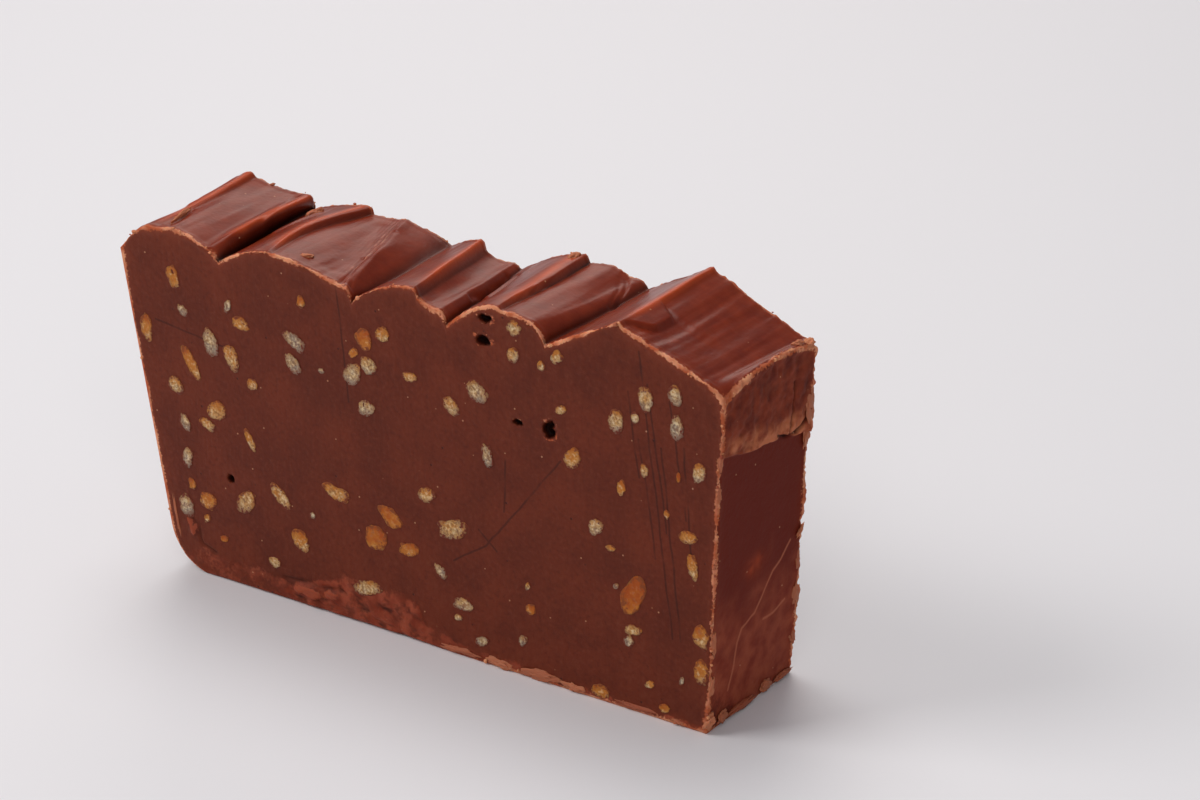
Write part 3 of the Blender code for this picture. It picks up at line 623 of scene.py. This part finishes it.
def refine(reach):
    """Halves the edited block's cells on its top, and where fine detail lies within reach of a cell."""
    bpy.ops.mesh.select_mode(type="FACE")
    mesh = bmesh.from_edit_mesh(bpy.context.object.data)
    block = np.array([face.calc_center_median() for face in mesh.faces])
    x, _, z = slab_point(*block.T)
    edge_gap = np.sort(side_distances(block), axis=1)[:, 1]
    top, front, end = block[:, 2] > 1 - SIDE, block[:, 1] < SIDE, block[:, 0] > 1 - SIDE
    at_edge = edge_gap < np.where(front, reach, reach - 1)
    on_band = end & (z > 38 - 5 * reach)
    on_torn_foot = front & (z < 5 + reach) & (x < 12)
    wanted = top | at_edge | on_band | on_torn_foot
    for pit_x, pit_z, length, _ in PITS:
        wanted |= front & (np.hypot(x - pit_x, z - pit_z) < length / 2 + reach / 2)
    for face, want in zip(mesh.faces, wanted):
        face.select = bool(want)
    mesh.select_flush_mode()
    bmesh.update_edit_mesh(bpy.context.object.data)
    bpy.ops.mesh.subdivide(number_cuts=1)


def side_distances(block):
    """How far, in millimetres, each point of the block lies from each of its sides."""
    return np.stack([side for axis in block.T for side in (axis, 1 - axis)], 1) * np.repeat(MEAN_SIZE, 2)


def line_distance(pairs, line):
    """How far each pair of places lies from a bent line."""
    best = np.full(len(pairs), 1e9)
    for start, end in zip(line, line[1:]):
        along = np.subtract(end, start)
        t = np.clip((pairs - start) @ along / (along @ along), 0, 1)
        best = np.minimum(best, np.linalg.norm(pairs - start - t[:, None] * along, axis=1))
    return best


# Creases that the paddle left in the top, as (x, y) places: (line, half width, depth).
TOP_CREASES = (
    (((-34.8, -2), (-34.6, 3), (-33.2, 7.5)), 0.7, -0.35),
    (((5.8, -3.5), (5.6, 0), (5.0, 4.5), (4.2, 8.5)), 0.5, 0.5),
    (((8.6, -4), (8.2, 1), (7.0, 7)), 0.5, 0.3),
    (((28.4, 2), (27.3, 6.2), (24.6, 13)), 0.3, 0.3),
    (((27.4, 3), (26.2, 7), (23.6, 13)), 0.25, 0.2),
    (((-37.9, -9), (-38.0, -1.5), (-40.6, 11)), 0.45, 0.35),
    (((-17.5, -9), (-20.0, -1), (-22.0, 9)), 1.7, 0.3),
    (((7.4, -2), (7.0, 4), (6.2, 11)), 0.45, -0.35),
    (((-53.2, -2), (-53.6, 6), (-53.7, 12)), 0.3, -0.25),
    (((-49.6, -10.8), (-50.2, -7), (-51.1, -4.0)), 0.5, 0.35),
    (((-12.2, -12), (-13.4, -8), (-14.6, -4.5), (-16.6, 2.5), (-18.0, 8)), 0.35, 0.3),
    (((-13.4, -12.3), (-14.8, -7.5), (-16.0, -3)), 0.35, 0.3),
)
# Open crevices in the band of the broken end, as (y, z) places.
END_CREVICES = (((7.6, 53), (7.2, 47.7), (6.4, 44.2), (3.5, 45.4)), ((6.4, 44.2), (9, 44.2), (13.5, 46.5)))


def stretch_wrinkles(points, v):
    """The fine wrinkles, from -1 to 1, beside the crease of the second fold."""
    level = points * (1, 1, 0)
    before = place(FOLDS[1].brow, v)[0] - points[:, 0]
    stretch = np.exp(-np.abs(before - 1.2) / 1.6) * (before > 0) * middle(v) ** 0.5
    return stretch * np.sin(2 * np.pi * (before + 0.3 * soft_noise(level, 4, 53)) / 0.75)


def sculpt_top(points, v):
    """The height that the paddle's drag lines, creases and dents add to the top."""
    level = points * (1, 1, 0)
    height = 0.24 * soft_noise(level, (6, 12, 9), 41) + 0.1 * soft_noise(level, (2.4, 7, 9), 43)
    height += 0.05 * soft_noise(level, (0.9, 11, 9), 45)
    streaks = 0.16 * soft_noise(level, (1.3, 24, 9), 47) + 0.06 * soft_noise(level, (0.6, 16, 9), 49)
    height += streaks * ease(41, 44, points[:, 0]) * (1 - ease(52, 57, points[:, 0]))
    height += 0.13 * stretch_wrinkles(points, v)
    wander = level[:, :2] + 0.35 * np.stack((soft_noise(level, 3.0, 55), soft_noise(level, 3.0, 57)), 1)
    for line, width, depth in TOP_CREASES:
        height -= depth * np.exp(-((line_distance(wander, line) / width) ** 2))
    return height


# What the masks are made from: a point's place in the block and on the slice, how far it lies from the
# slice's sides, a fine and a broad noise, and whether it lies on the top, the broken end or a cut.
Surface = namedtuple("Surface", "u v points x y z far grit broad on_top on_end on_cut front")


def read_surface(block, points):
    """The surface of the slice, from the block's places and the points that they became."""
    u, v, w = block.T
    front, back = v < SIDE, v > 1 - SIDE
    return Surface(u, v, points, *points.T, side_distances(block), rough_noise(points, 1.1, 61),
                   rough_noise(points, 4.0, 67), w > 1 - SIDE, u > 1 - SIDE, front | back, front)


def edge_masks(at):
    """The crumbly rim along the edges of the cuts and the broken end, pale partly as dry crumb and partly as
    a painted glow of light through the thin edge, and a paler band beside it, twice as strong near the top.
    """
    far = at.far
    to_edge = np.minimum(far[:, FRONT], far[:, BACK]) + far[:, (LEFT, RIGHT, LOW, HIGH)].min(axis=1)
    width = 0.48 + 0.38 * at.broad + 0.1 * (far[:, RIGHT] < 2)
    width = np.clip(width + 0.35 * (far[:, LOW] < 3) * ease(6, 14, at.x), 0.2, None)
    at_cut = np.exp(-(to_edge / width) ** 1.5)
    at_end = np.exp(-((far[:, RIGHT] + far[:, HIGH]) / (0.8 + 0.4 * at.broad)) ** 1.5)
    at_foot = np.exp(-((far[:, RIGHT] + far[:, LOW]) / (0.7 + 0.5 * at.broad)) ** 1.5) * (far[:, RIGHT] < 1)
    rim = np.maximum.reduce((at_cut, at_end, 0.8 * at_foot))
    rim *= np.clip(0.9 + 0.4 * at.broad + 0.3 * at.grit, 0, 1)
    rim *= 1 - 0.5 * (far[:, LOW] < 2) * (at.x < 6)
    halo = np.exp(-to_edge / 0.9) * np.where(far[:, HIGH] < 4, 1, 0.5) * np.clip(0.8 + at.broad, 0, 1)
    return rim, halo


def pit_masks(at):
    """The holes in the front cut, which are also painted dark as painted shade, and the torn crumb round
    them.
    """
    hollow, torn = np.zeros(len(at.x)), np.zeros(len(at.x))
    for pit_x, pit_z, length, width in PITS:
        gap = np.hypot((at.x - pit_x) / (length / 2), (at.z - pit_z) / (width / 2)) + 0.6 * at.grit
        hollow = np.maximum(hollow, (1 - ease(0.65, 1.15, gap)) * at.front)
        ring = np.exp(-(((gap - 1.4) / 0.35) ** 2))
        torn = np.maximum(torn, at.front * np.clip(0.3 + 0.6 * at.grit, 0, 1) * ring)
    return hollow, torn


def painted_lip_glow(at):
    """The painted orange glow of light through the thin lips, on the ridges and the noses that overhang, and
    the same orange on a smear on the end.
    """
    lip = np.zeros(len(at.u))
    for index, fold in enumerate(FOLDS):
        ridge, brow = ((at.u - mark) * ALONG_TOP for mark in STATIONS[3 * index + 1:3 * index + 3])
        on_ridge = np.exp(-((ridge / np.where(ridge < 0, 1.3, 0.7)) ** 2)) * ease(0.03, 0.25, at.v)
        on_nose = np.exp(-(((brow - 0.3) / 0.7) ** 2)) * (fold.hang > 0.3) * ease(0.1, 0.3, at.v)
        lip = np.maximum.reduce((lip, on_ridge, on_nose))
    lip *= np.clip(0.9 + 0.6 * at.broad, 0, 1)
    on_smear = np.exp(-(((at.y + 1) / 2.5) ** 2) - ((at.z - 25) / 1.6) ** 2)
    on_smear *= at.on_end * np.clip(0.7 + at.grit, 0, 1)
    return np.maximum(lip * at.on_top, 0.6 * on_smear)


def gap_shade(at):
    """1 deep in the gaps between folds, most at the overhanging lips, and less behind the beads."""
    shade = np.zeros(len(at.u))
    for index, fold in enumerate(FOLDS[:-1]):
        gap = (at.u - STATIONS[3 * index + 3]) * ALONG_TOP
        width = 1.0 + 0.5 * fold.hang * np.sin(np.pi * at.v)
        strength = 0.6 + 0.3 * min(fold.hang, 1.2)
        shade = np.maximum(shade, strength * np.exp(-(((gap + 0.3) / width) ** 2)))
        bead_width, bead = bead_size(index, at.v)
        behind = at.x - place(fold.ridge, at.v)[0] - fold.sway * middle(at.v) - bead_width
        shade = np.maximum(shade, 0.5 * bead * np.exp(-(((behind - 0.6) / 0.35) ** 2)))
    return shade * at.on_top


def end_crevices(at):
    """The open crevices in the band of the broken end."""
    crevices = np.zeros(len(at.u))
    for line in END_CREVICES:
        gap = line_distance(at.points[:, 1:] + 0.25 * np.stack((at.grit, at.broad), 1), line)
        crevices = np.maximum(crevices, np.exp(-((gap / 0.3) ** 2)) * at.on_end)
    return crevices


def cragginess(at):
    """How far the torn foot is broken up: most in its stretch of crags, but not on its large grains."""
    start, end = CRAGS
    craggy = 0.3 + 0.7 * ease(start - 2, start + 2, at.x) * (1 - ease(end - 1, end + 1, at.x))
    for grain_x, grain_z, length, *_ in SHOWN_GRAINS:
        if grain_z < 10 and length > 4:
            craggy *= ease(0.4, 0.65, np.hypot(at.x - grain_x, at.z - grain_z) / length)
    return craggy


def paint_slab(mesh, block, points):
    """Stores the slice's masks on its mesh. It gives how deep in a pit each point lies, from 0 to 1, and
    how far its torn fudge stands out, in millimetres."""
    at = read_surface(block, points)
    rim, halo = edge_masks(at)
    pits, torn_round_pits = pit_masks(at)
    # Painted highlight along the crests of the fine wrinkles.
    wrinkle_highlight = ease(0.35, 0.7, stretch_wrinkles(points, at.v)) * np.clip(0.6 + at.grit, 0, 1)

    band = at.on_end * end_band(at.z, at.v)
    above_band_edge = at.z - lerp(END_BAND_FRONT, END_BAND_BACK, at.v) + 1.2 * at.broad
    low_corner = at.on_end * (1 - ease(3, 11, at.z + 0.7 * (at.y + 12))) * 0.8
    open_crevices = end_crevices(at)

    smear_height = np.interp(at.x, *np.transpose(FOOT_EDGE)) + 0.6 * at.broad + 0.35 * at.grit
    smear = (1 - ease(-0.3, 0.3, at.z - smear_height)) * at.front
    flakes, crevices = foot_flakes(points, at.grit)
    broken = np.maximum(smear * cragginess(at), 0.7 * band)
    relief = crags(points)
    # Painted shade: the pits, the end's crevices, the low spots of torn fudge, the foot's crevices and the
    # gaps between folds are all painted dark.
    torn = (0.7 - 0.35 * at.on_end) * broken * (1 - ease(-0.55, -0.25, relief))
    hollow = np.maximum.reduce((pits, open_crevices, torn, 0.35 * crevices * at.front, gap_shade(at)))

    masks = {
        "skin": at.on_top & ~at.on_cut,
        "wrinkle_highlight": wrinkle_highlight * at.on_top,
        "streaky": 0.25 + 0.75 * ease(38, 43, at.x),
        "cut": at.on_cut,
        "front": at.front,
        "end": at.on_end & ~at.on_cut,
        "low_end": 0.9 * at.on_end * (1 - ease(9, 27, at.z + 9 * at.broad)),
        "band": np.maximum(band, low_corner),
        "band_foot": band * (1 - ease(1.5, 4.5, above_band_edge)),
        "smear": smear * np.clip(0.75 + at.grit, 0, 1) * (0.55 + 0.45 * ease(-30, -24, at.x)),
        "flake": flakes * at.front,
        "lip": painted_lip_glow(at),
        "rim": np.clip(np.maximum(rim, torn_round_pits), 0, 1),
        "halo": halo,
        "hollow": hollow,
    }
    for name in SLICE_MASKS:
        set_attribute(mesh, name, masks[name])
    lift = broken * (0.16 + 0.5 * relief) + at.front * (0.4 * flakes - 0.35 * crevices) - 0.6 * open_crevices
    return pits, lift


def crags(points):
    """The broken, flaky relief of torn fudge, drawn out along the slice."""
    return rough_noise(points * (0.6, 1, 1.15), 1.6, 73)


def foot_flakes(points, grit):
    """Masks of the flat flakes on the foot of the front cut, and of the crevices beside them."""
    x, _, z = points.T
    flakes = np.zeros(len(points))
    crevices = np.zeros(len(points))
    for flake_x, flake_z, length, width, tilt in FOOT_FLAKES:
        turn = math.radians(tilt)
        along = (x - flake_x) * math.cos(turn) + (z - flake_z) * math.sin(turn)
        across = (z - flake_z) * math.cos(turn) - (x - flake_x) * math.sin(turn)
        gap = np.hypot(along / (length / 2), across / (width / 2)) + 0.7 * grit
        flakes = np.maximum(flakes, 1 - ease(0.75, 1.05, gap))
    for line in FOOT_CREVICES:
        gap = line_distance(points[:, (0, 2)], line) + 0.2 * grit
        crevices = np.maximum(crevices, np.exp(-((gap / 0.35) ** 2)))
    return flakes, crevices * (1 - flakes)


def rounded_foot(points, far):
    """How far the front cut's lower edges are rolled back."""
    x, _, z = points.T
    rolled = (1 - ease(16, 30, z)) * (1 - ease(-2, 6, x))
    radius = lerp(EDGE_ROUND, FOOT_ROUND, rolled)
    return 0.6 * radius * np.clip(1 - far[:, LOW] / radius, 0, 1) ** 2 * np.exp(-far[:, FRONT] / 3)


def make_slab():
    """The slice itself: a finely cut block, moved onto the folds and walls and then worked over."""
    cut_block(BLOCK_CELLS)
    for reach in FINE_REACHES:
        refine(reach)
    bpy.ops.object.mode_set(mode="OBJECT")
    slab = bpy.context.object
    slab.name = slab.data.name = "fudge_slice"
    block = coordinates(slab.data)
    points = np.stack(slab_point(*block.T), 1)
    set_coordinates(slab.data, points)
    pits, lift = paint_slab(slab.data, block, points)
    u, v, w = block.T
    far = side_distances(block)
    edge_gap = np.sort(far, axis=1)[:, 1]
    points[:, 2] += (w > 1 - SIDE) * sculpt_top(points, v)
    grit = rough_noise(points, 0.9, 71)
    nibble = rough_noise(points, 0.5, 75)
    crumble = (0.3 * grit + 0.22 * nibble - 0.1) * np.exp(-edge_gap / 0.5)
    crumble += 0.1 * np.exp(-(((edge_gap - 0.7) / 0.4) ** 2))
    crumble *= ease(0.5, 3.0, far[:, LEFT] + 0.5)
    back_end = np.exp(-(far[:, RIGHT] + (1 - v) * 26) / 1.2) * (0.6 + 0.9 * rough_noise(points, 3.0, 72))
    wear = crumble + 0.5 * back_end + lift
    wear += (u > 1 - SIDE) * 0.08 * rough_noise(points, 3.0, 74)
    points += normals(slab.data) * (wear * np.clip(points[:, 2] / 0.8, 0, 1))[:, None]
    points += np.outer(PIT_DEPTH * pits * (0.8 + 0.4 * grit), PIT_DIRECTION)
    points[:, 1] += rounded_foot(points, far)
    points[:, 2] = np.clip(points[:, 2], 0, None)
    set_coordinates(slab.data, points * MM)
    for polygon in slab.data.polygons:
        polygon.use_smooth = True
    slab.data.materials.append(fudge_material())
    return slab


def inside_back_cut(x, z):
    """True where a grain of the back cut is clear of the slice's outline."""
    left = BASE_LEFT - LEFT_LEAN * z / WALL_HEIGHT + GRAIN_MARGIN + max(0, 6 - z)
    along = np.linspace(0, 1, 400)
    height = np.interp(x, *top_curve(along, np.ones_like(along)))
    return left < x < BASE_RIGHT - GRAIN_MARGIN and GRAIN_MARGIN < z < height - GRAIN_MARGIN


def spread_grains(draw, count):
    """Evenly spread (x, z) places on the back cut: each the one of several draws farthest from the rest."""
    places = []
    while len(places) < count:
        best, best_gap = None, 0
        for _ in range(14):
            x = draw.uniform(BASE_LEFT - LEFT_LEAN, BASE_RIGHT)
            z = draw.uniform(GRAIN_MARGIN, WALL_HEIGHT + 5)
            if not inside_back_cut(x, z):
                continue
            gap = min((math.hypot(x - px, z - pz) for px, pz in places), default=99)
            if gap > best_gap:
                best, best_gap = (x, z), gap
        if best is None or best_gap < GRAIN_SPACING:
            break
        places.append(best)
    return places


def ball(subdivisions):
    """A round start for a grain or crumb, as its points and faces."""
    bpy.ops.mesh.primitive_ico_sphere_add(subdivisions=subdivisions, radius=0.5)
    start = bpy.context.object
    points = coordinates(start.data)
    faces = [tuple(polygon.vertices) for polygon in start.data.polygons]
    bpy.data.objects.remove(start)
    return points, faces


def joined_lumps(name, lumps, material):
    """One object from many lumps, each (points, faces, {attribute: values})."""
    points, faces, layers = [], [], {}
    count = 0
    for lump_points, lump_faces, values in lumps:
        points.append(lump_points)
        faces += [tuple(index + count for index in face) for face in lump_faces]
        for key, value in values.items():
            layers.setdefault(key, []).append(np.broadcast_to(value, len(lump_points)))
        count += len(lump_points)
    mesh = bpy.data.meshes.new(name)
    mesh.from_pydata((np.concatenate(points) * MM).tolist(), [], faces)
    for key, parts in layers.items():
        set_attribute(mesh, key, np.concatenate(parts))
    for polygon in mesh.polygons:
        polygon.use_smooth = True
    mesh.materials.append(material)
    obj = bpy.data.objects.new(name, mesh)
    bpy.context.scene.collection.objects.link(obj)
    return obj


def cut_grain(start, x, z, length, width, tilt, side, toast, seed):
    """One grain that the knife sliced: a puffed, uneven oval whose cut face lies level with the fudge."""
    points, faces = start
    knobs = 1 + 0.26 * soft_noise(points * 2.4 + seed, 1, 81) + 0.12 * soft_noise(points * 7 + seed, 1, 83)
    shape = points * knobs[:, None] * np.array((width, GRAIN_DEPTH, length))
    core = 1 - 2 * np.hypot(points[:, 0], points[:, 2])
    pores = soft_noise(shape + seed, 0.6, 87)
    level = GRAIN_PROUD + 0.12 * np.minimum(pores, 0.3) * ease(0.0, 0.3, core)
    shape[:, 1] = np.maximum(shape[:, 1] + 0.1 * GRAIN_DEPTH, -level)
    turn = math.radians(tilt)
    rotated_x = shape[:, 0] * math.cos(turn) + shape[:, 2] * math.sin(turn)
    rotated_z = shape[:, 2] * math.cos(turn) - shape[:, 0] * math.sin(turn)
    height = z + rotated_z
    placed = np.stack((x + rotated_x, side * (half_thickness(height) - shape[:, 1]), height), 1)
    if side > 0:
        faces = [face[::-1] for face in faces]
    return placed, faces, {"toast": toast + 0.5 * rotated_z / length, "core": core}


def make_rice():
    """The crisped rice: the grains that the photo shows in the front cut, and others in the back cut."""
    draw = np.random.default_rng(GRAIN_SEED)
    fine, plain = ball(4), ball(3)
    lumps = []
    for index, (x, z, length, width, tilt, toast) in enumerate(SHOWN_GRAINS):
        start = fine if length > 3 else plain
        lumps.append(cut_grain(start, x, z, length, width, tilt, -1, toast, index * 3.7))
    for index, (x, z) in enumerate(spread_grains(draw, BACK_GRAINS)):
        length = draw.uniform(*GRAIN_LENGTH)
        width = length * draw.uniform(*GRAIN_SLIMNESS)
        tilt = draw.uniform(0, 180)
        toast = draw.uniform(0.05, 0.9)
        lumps.append(cut_grain(plain, x, z, length, width, tilt, 1, toast, 200 + index * 2.9))
    return joined_lumps("crisped_rice", lumps, rice_material())


# Runs of crumbs along the slice's edges: (count, start, end), as places of the block.
CRUMB_RUNS = (
    (70, (0.0, 0.0, 1.0), (1.0, 0.0, 1.0)), (22, (0.0, 1.0, 1.0), (1.0, 1.0, 1.0)),
    (70, (1.0, 0.0, 0.02), (1.0, 0.0, 1.0)), (50, (1.0, 1.0, 0.02), (1.0, 1.0, 1.0)),
    (40, (1.0, 0.0, 1.0), (1.0, 1.0, 1.0)), (24, (0.5, 0.0, 0.012), (1.0, 0.0, 0.012)),
    (6, (0.0, 0.0, 0.1), (0.0, 0.0, 1.0)), (24, (1.0, 0.0, 0.01), (1.0, 1.0, 0.01)),
    (12, (1.0, 0.7, 1.0), (1.0, 1.0, 1.0)),
)
CRUMB_SIZE = (0.18, 0.8)
CRUMB_SEED = 23
SLICE_CENTRE = np.array((0.0, 0.0, 30.0))

# Thin flakes and slivers on the edges: (place, size, turn about the vertical, lean, tone from dark to pale).
FLAKES = (
    ((58.3, 12.3, 48.5), (0.7, 2.6, 6.0), 0, -4, 0.3), ((57.8, 12.5, 42.5), (0.7, 2.0, 4.5), 10, 4, 0.35),
    ((57.0, 12.5, 25.5), (0.7, 2.6, 2.4), 20, 25, 0.5), ((56.8, 12.2, 20.5), (0.6, 1.6, 4.6), 0, 0, 0.25),
    ((56.5, 12.0, 13.5), (0.8, 2.2, 5.0), -10, 5, 0.3), ((56.2, 12.0, 7.5), (0.8, 1.5, 3.2), 0, -10, 0.25),
    ((57.8, -12.6, 47.5), (0.8, 0.8, 3.6), 0, 5, 0.35), ((57.5, -12.5, 42.0), (0.7, 0.7, 2.8), 0, -5, 0.3),
    ((56.7, -12.2, 16.5), (0.9, 0.8, 4.2), 0, -5, 0.35), ((56.4, -12.1, 8.5), (0.8, 0.8, 3.6), 0, 8, 0.4),
    ((56.2, -8.3, 1.5), (0.7, 2.4, 1.9), 0, 0, 0.3), ((56.2, -2.6, 0.9), (0.7, 7.4, 1.1), 0, 0, 0.15),
    ((56.2, 4.6, 1.3), (0.7, 2.6, 1.7), 0, 0, 0.3), ((56.2, 9.6, 0.9), (0.7, 4.6, 1.1), 0, 0, 0.2),
    ((8.5, -12.3, 0.9), (7.0, 0.8, 1.2), 0, 0, 0.25), ((16.8, -12.3, 0.9), (5.0, 0.9, 1.5), 0, 4, 0.4),
    ((24.5, -12.3, 1.1), (7.5, 0.9, 1.8), 0, -3, 0.3), ((31.2, -12.3, 0.9), (4.2, 0.8, 1.4), 0, 5, 0.4),
    ((43.0, -12.2, 0.8), (9.0, 0.8, 1.2), 0, 0, 0.15), ((50.5, -12.2, 0.7), (3.0, 0.8, 1.0), 0, 0, 0.3),
    ((55.9, -11.9, 2.0), (1.6, 1.3, 2.8), 20, 20, 0.5), ((58.1, 12.0, 57.8), (1.8, 2.0, 1.6), 30, 10, 0.6),
    ((57.7, 9.4, 58.6), (1.3, 2.2, 1.0), 0, 5, 0.4), ((-50.3, -12.3, 11.5), (0.7, 0.5, 12.0), 0, -8.6, 0.3),
    ((-50.2, -7.2, 61.9), (0.6, 6.4, 1.0), 14, 0, 0.5), ((-34.8, 8.4, 60.6), (1.6, 3.6, 1.0), -8, 0, 0.3),
    ((15.0, 11.6, 62.7), (2.0, 2.4, 1.2), 0, 0, 0.45), ((-22.8, -9.5, 61.5), (2.6, 1.3, 0.7), 25, 0, 0.45),
)


def make_crumbs():
    """Dry crumbs and thin flakes stuck along the cut and broken edges, most of them small."""
    draw = np.random.default_rng(CRUMB_SEED)
    points, faces = ball(4)
    lumps = []
    for centre, size, turn, lean, tone in FLAKES:
        ragged = 1 + 0.75 * rough_noise(points * 5 + draw.uniform(0, 99), 1, 93)
        leaf = Matrix.Rotation(math.radians(turn), 3, "Z") @ Matrix.Rotation(math.radians(lean), 3, "Y")
        shape = points * ragged[:, None] * np.array(size)
        placed = np.array(centre) + shape @ np.array(leaf).T
        placed[:, 2] = np.clip(placed[:, 2], 0, None)
        lumps.append((placed, faces, {"toast": tone}))
    points, faces = ball(2)
    for count, start, end in CRUMB_RUNS:
        for _ in range(count):
            t = draw.uniform()
            block = np.clip([lerp(a, b, t) for a, b in zip(start, end)], 0, 1)
            centre = np.array(slab_point(*(np.array([side]) for side in block)))[:, 0]
            size = lerp(*CRUMB_SIZE, draw.uniform() ** 3)
            inward = SLICE_CENTRE - centre
            inward[0] *= 0.2
            centre += 0.22 * inward / np.linalg.norm(inward) + draw.normal(0, 0.12, 3)
            centre[2] = max(centre[2], size * 0.6)
            knobs = 1 + 0.35 * soft_noise(points * 3 + draw.uniform(0, 99), 1, 91)
            stretch = draw.uniform(0.6, 1.3, 3) * size
            lumps.append((centre + points * knobs[:, None] * stretch, faces, {"toast": draw.uniform()}))
    return joined_lumps("fudge_crumbs", lumps, crumb_material())


# The camera, in millimetres and from the photograph: it looks from the front right and a little above.
CAMERA_AZIMUTH = math.radians(33.9)
CAMERA_ELEVATION = math.radians(23.9)
CAMERA_DISTANCE = 594.0
CAMERA_AIM = (20.37, 35.85)
CAMERA_CENTRE_X = 3.1
CAMERA_LENS = 108.0


def make_camera():
    """A long lens, aimed a little right of and above the foot of the slice."""
    sin_a, cos_a = math.sin(CAMERA_AZIMUTH), math.cos(CAMERA_AZIMUTH)
    sin_e, cos_e = math.sin(CAMERA_ELEVATION), math.cos(CAMERA_ELEVATION)
    back = Vector((sin_a * cos_e, -cos_a * cos_e, sin_e))
    right = Vector((cos_a, sin_a, 0))
    up = back.cross(right)
    position = Vector((CAMERA_CENTRE_X, 0, 0)) + right * CAMERA_AIM[0] + up * CAMERA_AIM[1]
    position += back * CAMERA_DISTANCE
    camera = bpy.data.objects.new("camera", bpy.data.cameras.new("camera"))
    bpy.context.scene.collection.objects.link(camera)
    turn = Matrix((right, up, back)).transposed()
    camera.matrix_world = Matrix.Translation(position * MM) @ turn.to_4x4()
    camera.data.lens = CAMERA_LENS
    camera.data.sensor_width = 36.0
    camera.data.clip_start = 0.01
    bpy.context.scene.camera = camera


def add_softbox(name, position, aim, size, power, colour):
    """A square area light that faces its aim."""
    light = bpy.data.lights.new(name, "AREA")
    light.size = size
    light.energy = power
    light.color = linear(colour)[:3]
    obj = bpy.data.objects.new(name, light)
    bpy.context.scene.collection.objects.link(obj)
    direction = Vector(aim) - Vector(position)
    obj.matrix_world = Matrix.Translation(position) @ direction.to_track_quat("-Z", "Y").to_matrix().to_4x4()


def make_studio():
    """A pale floor, a soft key from the left and behind, and even fill."""
    bpy.ops.mesh.primitive_plane_add(size=6, location=(0, 0, 0))
    floor = bpy.context.object
    floor.name = floor.data.name = "floor"
    material, _ = new_material("pale_floor")
    floor.data.materials.append(finished(material, {"Base Color": "E7E8EE", "Roughness": 0.55}))
    add_softbox("key", (-0.75, -0.62, 0.9), (0, 0, 0.03), 0.6, 7.2, "FFFAF5")
    add_softbox("fill", (0.65, -0.9, 0.75), (0, 0, 0.03), 0.7, 3.3, "FFFAF5")
    add_softbox("top", (-0.3, 0.35, 1.2), (0, 0, 0.03), 0.7, 6.6, "FFFAF5")
    add_softbox("sheen", (-0.62, 1.0, 0.6), (0, 0, 0.05), 0.6, 1.7, "FFF0E6")
    world = bpy.data.worlds.new("studio")
    world.use_nodes = True
    set_inputs(world.node_tree, world.node_tree.nodes["Background"], {"Color": "EFEEF0", "Strength": 0.27})
    bpy.context.scene.world = world
    bpy.context.scene.view_settings.view_transform = "Standard"


def dress():
    """Makes the stage and the pieces, and puts the pieces on the part's body."""
    make_camera()
    make_studio()
    slab = make_slab()
    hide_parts("fudge_slab")
    for piece in (slab, make_rice(), make_crumbs()):
        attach(piece, "root")


dress()
